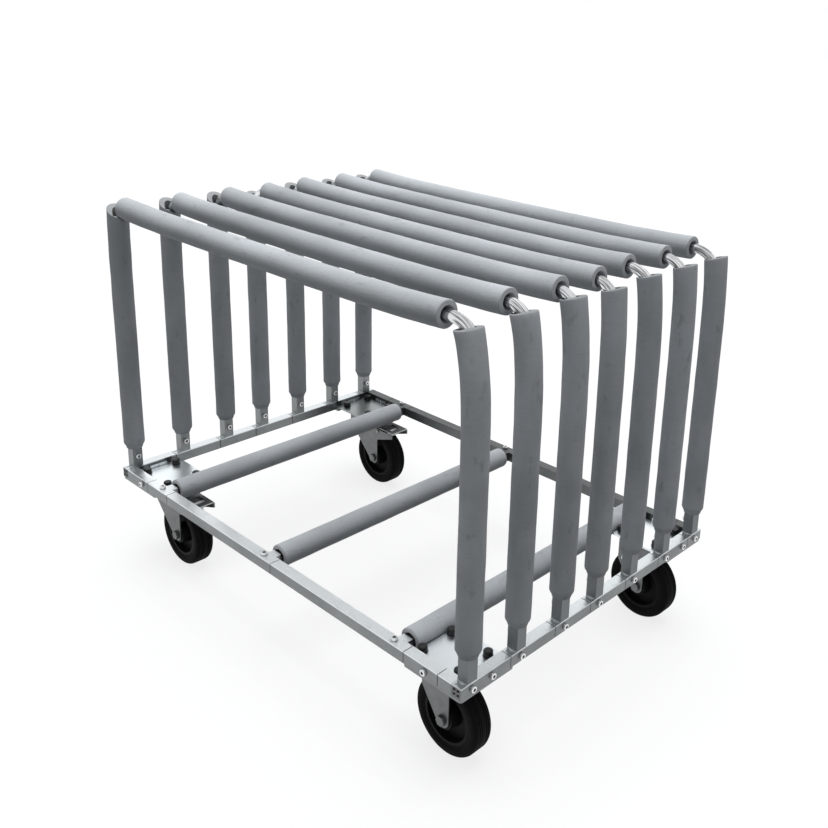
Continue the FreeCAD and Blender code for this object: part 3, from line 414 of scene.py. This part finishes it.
# moulded plastic and rubber
def mouldedMaterial(name, look):
    material, tree, shader = newMaterial(name)
    grain = placeGroup(tree, mottle, CloudScale=look["cloudScale"], GrainScale=look["grainScale"])
    grime = placeGroup(tree, dust, Scale=look["dustScale"], Amount=look["dustAmount"])
    tone = mapValue(tree, grain.outputs["Clouds"], noiseSpread)
    colour = mixColours(tree, tone, look["dark"], look["pale"])
    colour = mixColours(tree, grime.outputs["Mask"], colour, look["dustColour"])
    # painted shade in hollows
    if look["hollowShadeCover"] > 0:
        colour = paintShadeInHollows(tree, colour, look)
    rough = mapValue(tree, grain.outputs["Grain"], noiseSpread, look["roughness"])
    linkSurface(tree, shader, colour, rough)
    shader.inputs["Specular IOR Level"].default_value = look["specular"]
    linkBump(tree, shader, grain.outputs["Grain"], look["bump"], look["grainDepth"])
    return material


tyreLook = {
    "dark": (0.004, 0.004, 0.0042), "pale": (0.0075, 0.0075, 0.0077), "cloudScale": 26.0,
    "grainScale": 520.0, "dustColour": (0.035, 0.034, 0.032), "dustScale": 60.0, "dustAmount": 0.08,
    "hollowShadeCover": 0.0, "roughness": (0.62, 0.8), "specular": 0.07, "bump": 0.22, "grainDepth": 0.0004,
}
coreLook = dict(
    tyreLook, dark=(0.009, 0.009, 0.0095), pale=(0.015, 0.015, 0.0155), roughness=(0.4, 0.55), bump=0.1)
capLook = dict(
    tyreLook, dark=(0.007, 0.008, 0.0085), pale=(0.012, 0.013, 0.0135), grainScale=900.0, dustAmount=0.1,
    roughness=(0.34, 0.48), specular=0.3, bump=0.08)
# mid-grey plugs, with painted shade that darkens them nearly to black inside the rail seams
plugLook = dict(
    tyreLook, dark=(0.36, 0.372, 0.38), pale=(0.46, 0.473, 0.48), dustColour=(0.2, 0.2, 0.198),
    hollowReach=0.004, hollowShadeCover=0.95, hollowShadeColour=(0.02, 0.0205, 0.021),
    roughness=(0.5, 0.65), specular=0.3, bump=0.1)

tyreRubber = mouldedMaterial("tyreRubber", tyreLook)
corePlastic = mouldedMaterial("corePlastic", coreLook)
capPlastic = mouldedMaterial("capPlastic", capLook)
plugPlastic = mouldedMaterial("plugPlastic", plugLook)

slotFinish = {
    "hoop_tube": hoopBright, "zinc_steel": railZinc, "zinc_plate": plateZinc, "caster_steel": forkSteel,
    "bright_fastener": fastenerSteel, "plug": plugPlastic, "cap_plastic": capPlastic, "tyre": tyreRubber,
    "wheel_core": corePlastic, "foam": legSkin,
}
# nodes whose finish isn't their slot's
nodeFinish = {
    "left_rail": leftRailZinc, "right_rail": sideRailZinc, "rear_rail": rearRailZinc,
    "rear_left_corner_plate": dullPlateZinc,
    "fixed_axles": forkSteel, "front_swivel_axle": forkSteel, "rear_swivel_axle": forkSteel,
    "front_brake_pedal": pedalSteel, "rear_brake_pedal": pedalSteel,
}
for subpart in frame["record"]["subparts"]:
    finish = nodeFinish.get(subpart["node"], slotFinish[subpart["material_slot"]])
    for materialSlot in nodes[subpart["node"]].material_slots:
        materialSlot.material = finish


# foam sleeves
foamTube = {
    "sides": 56,
    "rimRound": 0.0024,         # rounding of the sawn rims
    "rimTurns": (0.0, 0.35, 0.7, 1.0),    # shares of that quarter turn
    "lumpSize": 0.05,           # distance between soft dents
    "lumpDepth": 0.0011,
    "wrinkleSize": 0.012,
    "wrinkleDepth": 0.00022,
    "mergeGap": 0.00001,
    "sharpAngle": 38.0,
}


def sweepRings(bm, rings):
    # one closed wall: out along the outside, back along the bore
    circle = bmesh.ops.create_circle(
        bm, cap_ends=False, radius=1.0, segments=foamTube["sides"], matrix=rings[0])
    firstEdges = list({edge for vert in circle["verts"] for edge in vert.link_edges})
    ringEdges = firstEdges
    for before, after in zip(rings, rings[1:]):
        grown = bmesh.ops.extrude_edge_only(bm, edges=ringEdges)["geom"]
        newVerts = {item for item in grown if isinstance(item, bmesh.types.BMVert)}
        ringEdges = [item for item in grown
                     if isinstance(item, bmesh.types.BMEdge) and newVerts.issuperset(item.verts)]
        bmesh.ops.transform(bm, matrix=after @ before.inverted(), verts=list(newVerts))
    bmesh.ops.bridge_loops(bm, edges=firstEdges + ringEdges)


def rimSteps(radius, rimRound):
    # how far back the rounded rim is and its radius there, from the outside to the sawn face
    steps = []
    for share in foamTube["rimTurns"]:
        turn = share * math.pi / 2
        steps.append((rimRound * (1 - math.sin(turn)), radius - rimRound * (1 - math.cos(turn))))
    return steps


def softenFoam(bm, isOutside, seed):
    lumpSeed = Vector((seed, 0.0, 0.0))
    wrinkleSeed = Vector((0.0, seed, 0.0))
    bm.normal_update()
    for vert in bm.verts:
        if not isOutside(vert.co):
            continue
        # noise runs from -1 to 1, and the foam is only pushed in
        lump = 0.5 + 0.5 * noise.noise(vert.co / foamTube["lumpSize"] + lumpSeed)
        wrinkle = 0.5 + 0.5 * noise.noise(vert.co / foamTube["wrinkleSize"] + wrinkleSeed)
        vert.co -= vert.normal * (foamTube["lumpDepth"] * lump + foamTube["wrinkleDepth"] * wrinkle)


def finishFoam(bm, name, node, skins, skinOf):
    bmesh.ops.remove_doubles(bm, verts=bm.verts, dist=foamTube["mergeGap"])
    bmesh.ops.recalc_face_normals(bm, faces=bm.faces)
    for face in bm.faces:
        face.smooth = True
        face.material_index = skinOf(face)
    mesh = bpy.data.meshes.new(name)
    bm.to_mesh(mesh)
    bm.free()
    for skin in skins:
        mesh.materials.append(skin)
    mesh.set_sharp_from_angle(angle=math.radians(foamTube["sharpAngle"]))
    piece = bpy.data.objects.new(name, mesh)
    bpy.context.scene.collection.objects.link(piece)
    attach(piece, "frame")
    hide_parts(node)


straightSleeve = {
    "mouthLip": 0.0012,
    "hangPower": 4,         # the higher, the flatter the hang at mid-length
    "outsideShare": 0.66,   # of the radius, beyond which a point is on the outside
    "endFacing": 0.8,       # along the sleeve, for the faces of a sawn end
}
topSleeve = {
    "axis": 0,
    "mouthRadius": 0.0151,
    "mouthDepth": 0.033,
    "boreRadius": 0.01095,
    "hang": 0.0075,         # how far the slack foam drops at mid-length
    "leftTrims": (0.0, 0.0, 0.0, 0.0, 0.0, 0.0, 0.01),
    "rightTrims": (0.01, 0.006, 0.001, 0.0, 0.005, 0.004, 0.008),
    "rings": 110,
    "firstSeed": 3.7,
    "seedStep": 3.7,
    "fill": 0.95,
}
bedSleeve = {
    "axis": 1,
    "mouthRadius": 0.0158,
    "mouthDepth": 0.012,
    "boreRadius": 0.01447,
    "hang": 0.0,
    "rings": 84,
    "firstSeed": 41.3,
    "seedStep": 5.1,
    "fill": 0.95,
}


def makeStraightSleeve(node, name, size, skin, seed, trims=(0.0, 0.0)):
    axis = size["axis"]
    low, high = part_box(node)
    low[axis] += trims[0]
    high[axis] -= trims[1]
    middle = (low + high) / 2
    radius = (high.z - low.z) / 2
    half = (high[axis] - low[axis]) / 2
    turn = Matrix.Rotation(math.pi / 2, 4, "Y") if axis == 0 else Matrix.Rotation(-math.pi / 2, 4, "X")
    along = Vector((1, 0, 0)) if axis == 0 else Vector((0, 1, 0))

    def ring(place, ringRadius, hang=0.0):
        drop = Vector((0, 0, -hang * (1 - (place / half) ** straightSleeve["hangPower"])))
        return (Matrix.Translation(middle + along * place + drop) @ turn
                @ Matrix.Diagonal((ringRadius, ringRadius, 1.0, 1.0)))

    rim = rimSteps(radius, foamTube["rimRound"])
    rings = [ring(-half + back, out) for back, out in reversed(rim)]
    reach = half - foamTube["rimRound"]
    for step in range(1, size["rings"]):
        rings.append(ring(-reach + 2 * reach * step / size["rings"], radius, size["hang"]))
    rings += [ring(half - back, out) for back, out in rim]
    lip = straightSleeve["mouthLip"]
    bore = [(half, size["mouthRadius"] + lip), (half - lip, size["mouthRadius"]),
            (half - size["mouthDepth"], size["boreRadius"])]
    rings += [ring(place, out) for place, out in bore]
    rings += [ring(-place, out) for place, out in reversed(bore)]
    bm = bmesh.new()
    sweepRings(bm, rings)

    def isOutside(spot):
        offset = spot - middle
        offset[axis] = 0.0
        return offset.length > radius * straightSleeve["outsideShare"]

    softenFoam(bm, isOutside, seed)

    def skinOf(face):
        isEnd = abs(face.calc_center_median()[axis] - middle[axis]) > half - lip
        return 1 if isEnd and abs(face.normal[axis]) > straightSleeve["endFacing"] else 0

    finishFoam(bm, name, node, (skin, barCutLit), skinOf)


for index, trims in enumerate(zip(topSleeve["leftTrims"], topSleeve["rightTrims"])):
    seed = topSleeve["firstSeed"] + topSleeve["seedStep"] * index
    number = index + 1
    makeStraightSleeve("top_sleeve_%d" % number, "topSleeve%d" % number, topSleeve, topSkin, seed, trims)
for index, side in enumerate(("left", "middle", "right")):
    seed = bedSleeve["firstSeed"] + bedSleeve["seedStep"] * index
    makeStraightSleeve(side + "_cross_sleeve", side + "BedSleeve", bedSleeve, bedSkin, seed)
print("straight sleeves done")


# two legs to a node: side 1 is the right one, side -1 the left one
legSleeve = {
    "radius": 0.0255,
    "boreRadius": 0.01095,
    "footRadius": 0.0198,
    "footHeight": 0.015,
    "footLip": 0.0016,
    "lipSteps": ((0.0, 1.0), (0.4, 0.3)),    # shares of that lip, up and in
    "rimShare": 0.7,        # of the straight sleeves' rim rounding
    # how far the sawn tops stand above the plain solid
    "leftRise": (0.008, 0.008, 0.008, -0.002, 0.008, 0.006, 0.006),
    "rightRise": (0.008, 0.009, 0.011, 0.008, 0.011, 0.011, 0.009),
    "leanHeight": 0.29,     # how far below the top the lean starts
    "leanPower": 4,
    "leftLean": 0.006,
    "rightLean": (0.024, 0.021, 0.0175, 0.009, 0.014, 0.009, 0.008),
    "topTilt": {1: 0.29, -1: 0.55},    # slope of the sawn tops, down towards the bar
    "tiltHeight": 0.06,     # how far below the top the slope fades out
    "mouthGap": 0.012,      # how far a top stands open behind the bent tube
    "mouthSpread": 0.4,     # share of that to each side
    "rimWall": 0.012,       # foam that stays outside the gap
    "bendRadius": 0.06,     # of the tube inside
    "bendLimit": 0.0555,    # of that bend's height, above which the bore goes straight up
    "bendStart": 0.041,     # how far below the solid's top that bend starts
    "rings": 96,
    "footRings": 8,
    "bendRings": 8,
    "boreShares": (0.66, 0.33, 0.0),    # places of the rings below the bend
    "boreMargin": 1.02,     # of the bore's radius, within which a point is on the bore
    "outsideShare": 0.72,   # of the radius, beyond which a point is on the outside
    "smoothFoot": 0.004,    # height of the part of the foot that has no dents
    "topDepth": 0.02,       # how far below the top a sawn face can be
    "topFacing": 0.75,      # upward part of a sawn face's normal
    "firstSeed": 20.2,
    "seedStep": 2.3,
    "fill": 0.9,
}
# the bores and the right tops take the darker sawn foam, painted shade; the left tops a lighter tone of it
legSkins = (legSkin, legCutShaded, leftRim)
plainFace, cutFace, rimFace = range(3)


def sideOf(spot):
    return 1 if spot.x > 0 else -1


def arcOffset(rise):
    # how far in the bent tube is at a height above the start of its bend
    radius = legSleeve["bendRadius"]
    rise = min(rise, legSleeve["bendLimit"])
    return radius - math.sqrt(radius * radius - rise * rise) if rise > 0 else 0.0


def arcWiden(rise):
    # how much wider a level cut through the bent tube is there
    rise = min(rise, legSleeve["bendLimit"])
    return 1.0 / math.cos(math.asin(rise / legSleeve["bendRadius"])) if rise > 0 else 1.0


def leanAt(z, top, lean):
    # how far the foam leans in towards the bar at a height, and how much the slope widens it
    power = legSleeve["leanPower"]
    share = max(0.0, 1 - (top - z) / legSleeve["leanHeight"])
    slope = power * lean * share ** (power - 1) / legSleeve["leanHeight"]
    return lean * share ** power, math.sqrt(1 + slope * slope)


def legRings(legX, side, y, foot, top, bendZ, lean):
    size = legSleeve
    radius = size["radius"]
    rimRound = foamTube["rimRound"] * size["rimShare"]

    def outerRing(z, ringRadius):
        offset, widen = leanAt(z, top, lean)
        place = Vector((side * (legX - offset), y, z))
        return Matrix.Translation(place) @ Matrix.Diagonal((ringRadius * widen, ringRadius, 1.0, 1.0))

    def boreRing(z):
        place = Vector((side * (legX - arcOffset(z - bendZ)), y, z))
        return Matrix.Translation(place) @ Matrix.Diagonal(
            (size["boreRadius"] * arcWiden(z - bendZ), size["boreRadius"], 1.0, 1.0))

    rings = [outerRing(foot + size["footLip"] * up, size["footRadius"] - size["footLip"] * inset)
             for up, inset in size["lipSteps"]]
    for step in range(1, size["footRings"] + 1):
        share = step / size["footRings"]
        swell = share * share * (3 - 2 * share)    # smooth at both ends
        rings.append(outerRing(foot + size["footLip"] + (size["footHeight"] - size["footLip"]) * share,
                               size["footRadius"] + (radius - size["footRadius"]) * swell))
    start = foot + size["footHeight"]
    end = top - rimRound
    for step in range(1, size["rings"]):
        rings.append(outerRing(start + (end - start) * step / size["rings"], radius))
    rings += [outerRing(top - back, out) for back, out in rimSteps(radius, rimRound)]
    for step in range(size["bendRings"] + 1):
        rings.append(boreRing(top - (top - bendZ) * step / size["bendRings"]))
    rings += [boreRing(foot + (bendZ - foot) * share) for share in size["boreShares"]]
    return rings


def tagBore(bm, legX, y, bendZ):
    limit = legSleeve["boreRadius"] * legSleeve["boreMargin"]
    for vert in bm.verts:
        across = abs(vert.co.x) - (legX - arcOffset(vert.co.z - bendZ))
        across /= arcWiden(vert.co.z - bendZ)
        vert.tag = math.hypot(across, vert.co.y - y) < limit
    for face in bm.faces:
        face.material_index = cutFace if all(vert.tag for vert in face.verts) else plainFace


def mouthGap(lean, bendRise):
    size = legSleeve
    boreEdge = size["boreRadius"] * arcWiden(bendRise)
    wall = size["radius"] - lean + arcOffset(bendRise) - boreEdge
    return min(size["mouthGap"], max(0.0, wall - size["rimWall"]))


def tiltTops(bm, legX, y, tops, bendZ, leans):
    # slope the sawn tops; the bore moves along the tube that it surrounds and opens behind it
    size = legSleeve
    for vert in bm.verts:
        side = sideOf(vert.co)
        top = tops[side]
        share = (vert.co.z - (top - size["tiltHeight"])) / size["tiltHeight"]
        if share <= 0:
            continue
        outward = side * vert.co.x - (legX - leanAt(vert.co.z, top, leans[side])[0])
        across = side * vert.co.x - (legX - arcOffset(vert.co.z - bendZ))
        before = arcWiden(vert.co.z - bendZ)
        tilt = size["topTilt"][side] * share * share
        vert.co.z += tilt * outward
        if vert.tag:
            after = arcWiden(vert.co.z - bendZ)
            vert.co.x = side * (legX - arcOffset(vert.co.z - bendZ) + across * after / before)
            gap = mouthGap(leans[side], top - bendZ) * share * share
            push = gap * max(0.0, across / (size["boreRadius"] * before))
            vert.co.x += side * push
            vert.co.z += tilt * push
            vert.co.y += gap * size["mouthSpread"] * (vert.co.y - y) / size["boreRadius"]


def makeLegSleeves(index):
    size = legSleeve
    number = index + 1
    node = "leg_sleeves_%d" % number
    low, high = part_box(node)
    y = (low.y + high.y) / 2
    legX = high.x - size["radius"]
    bendZ = high.z - size["bendStart"]
    tops = {1: high.z + size["rightRise"][index], -1: high.z + size["leftRise"][index]}
    leans = {1: size["rightLean"][index], -1: size["leftLean"]}
    bm = bmesh.new()
    for side in (1, -1):
        sweepRings(bm, legRings(legX, side, y, low.z, tops[side], bendZ, leans[side]))
    tagBore(bm, legX, y, bendZ)

    def isOutside(spot):
        side = sideOf(spot)
        lean = leanAt(spot.z, tops[side], leans[side])[0]
        across = Vector((abs(spot.x) - legX + lean, spot.y - y))
        return across.length > size["radius"] * size["outsideShare"] and low.z + size["smoothFoot"] < spot.z

    softenFoam(bm, isOutside, size["firstSeed"] + size["seedStep"] * index)
    tiltTops(bm, legX, y, tops, bendZ, leans)

    def skinOf(face):
        spot = face.calc_center_median()
        side = sideOf(spot)
        isTop = spot.z > tops[side] - size["topDepth"] and face.normal.z > size["topFacing"]
        if face.material_index == plainFace and isTop:
            return cutFace if side > 0 else rimFace
        return face.material_index

    finishFoam(bm, "legSleeves%d" % number, node, legSkins, skinOf)


for index in range(len(legSleeve["rightLean"])):
    makeLegSleeves(index)
print("leg sleeves done")


# floor, light and camera
stageLook = {
    "floorSize": 60.0,
    "dark": (0.15, 0.152, 0.154),
    "pale": (0.16, 0.162, 0.164),
    "cloudScale": 0.7,
    "roughness": 0.9,
    "specular": 0.1,
    "glow": 0.81,           # seen by the camera and in reflections only
}


def seenRays(tree):
    # rays that show the background: from the camera, in a reflection or through something clear
    rays = addNode(tree, "ShaderNodeLightPath")
    seen = mathNode(tree, "MAXIMUM", rays.outputs["Is Camera Ray"], rays.outputs["Is Glossy Ray"])
    return mathNode(tree, "MAXIMUM", seen, rays.outputs["Is Transmission Ray"])


def floorMaterial():
    material, tree, shader = newMaterial("floorPaint")
    clouds = placeGroup(tree, mottle, CloudScale=stageLook["cloudScale"])
    tone = mapValue(tree, clouds.outputs["Clouds"], noiseSpread)
    colour = mixColours(tree, tone, stageLook["dark"], stageLook["pale"])
    tree.links.new(colour, shader.inputs["Base Color"])
    setInputs(shader, **{"Roughness": stageLook["roughness"], "Specular IOR Level": stageLook["specular"],
                         "Emission Color": (1.0, 1.0, 1.0, 1.0)})
    glow = mathNode(tree, "MULTIPLY", seenRays(tree), stageLook["glow"])
    tree.links.new(glow, shader.inputs["Emission Strength"])
    return material


def makeFloor():
    bm = bmesh.new()
    bmesh.ops.create_grid(bm, x_segments=1, y_segments=1, size=stageLook["floorSize"] / 2)
    mesh = bpy.data.meshes.new("floor")
    bm.to_mesh(mesh)
    bm.free()
    mesh.materials.append(floorMaterial())
    floor = bpy.data.objects.new("floor", mesh)
    bpy.context.scene.collection.objects.link(floor)


lightLook = {
    "sunStrength": 3.35,
    "sunAngle": 45.0,
    "sunHeight": 86.0,
    "sunAway": 3.0,
    "panelPower": 20.0,
    "panelSize": (6.0, 4.4),
    "panelHeight": 31.0,
    "panelAway": 4.6,
    "turn": 131.0,          # degrees from +X, on the far side of the trolley
    "skyForDiffuse": (0.22, 0.223, 0.228),
    "skyForGloss": (1.0, 1.0, 1.0),
}


def lampDirection(heightDegrees):
    height = math.radians(heightDegrees)
    turn = math.radians(lightLook["turn"])
    return Vector((math.cos(height) * math.cos(turn), math.cos(height) * math.sin(turn), math.sin(height)))


def placeLamp(lamp, towards, away):
    holder = bpy.data.objects.new(lamp.name, lamp)
    holder.rotation_euler = towards.to_track_quat("Z", "Y").to_euler()
    holder.location = towards * away
    bpy.context.scene.collection.objects.link(holder)
    return holder


def makeLights():
    sun = bpy.data.lights.new("softSky", "SUN")
    sun.energy = lightLook["sunStrength"]
    sun.angle = math.radians(lightLook["sunAngle"])
    holder = placeLamp(sun, lampDirection(lightLook["sunHeight"]), lightLook["sunAway"])
    holder.visible_glossy = False    # bright metal shows the white studio, not the lamp
    panel = bpy.data.lights.new("farPanel", "AREA")
    panel.energy = lightLook["panelPower"]
    panel.shape = "RECTANGLE"
    panel.size, panel.size_y = lightLook["panelSize"]
    placeLamp(panel, lampDirection(lightLook["panelHeight"]), lightLook["panelAway"])


def makeSky():
    world = bpy.data.worlds.new("studio")
    bpy.context.scene.world = world
    world.use_nodes = True
    tree = world.node_tree
    colour = mixColours(tree, seenRays(tree), lightLook["skyForDiffuse"], lightLook["skyForGloss"])
    tree.links.new(colour, tree.nodes["Background"].inputs["Color"])


# fitted to the photo: metres, radians, and millimetres for the lens
cameraLook = {
    "place": (1.6031, -1.4574, 1.3886),
    "turn": 2.2832,
    "dip": 0.2994,
    "roll": 0.0462,
    "lens": 42.73,
    "sensor": 36.0,
    "shift": (-0.1248, -0.1279),
    "clipEnd": 200.0,
}


def makeCamera():
    turn, dip, roll = cameraLook["turn"], cameraLook["dip"], cameraLook["roll"]
    ahead = Vector((math.cos(dip) * math.cos(turn), math.cos(dip) * math.sin(turn), -math.sin(dip)))
    right = Vector((math.sin(turn), -math.cos(turn), 0.0))
    up = right.cross(ahead)
    tiltedRight = math.cos(roll) * right + math.sin(roll) * up
    tiltedUp = math.cos(roll) * up - math.sin(roll) * right
    lens = bpy.data.cameras.new("camera")
    lens.lens = cameraLook["lens"]
    lens.sensor_width = cameraLook["sensor"]
    lens.sensor_fit = "HORIZONTAL"
    lens.shift_x, lens.shift_y = cameraLook["shift"]
    lens.clip_end = cameraLook["clipEnd"]
    camera = bpy.data.objects.new("camera", lens)
    axes = Matrix((tiltedRight, tiltedUp, -ahead)).transposed().to_4x4()
    camera.matrix_world = Matrix.Translation(cameraLook["place"]) @ axes
    bpy.context.scene.collection.objects.link(camera)
    bpy.context.scene.camera = camera


makeFloor()
makeLights()
makeSky()
makeCamera()
bpy.context.scene.view_settings.view_transform = "Standard"
print("stage, light and camera done")
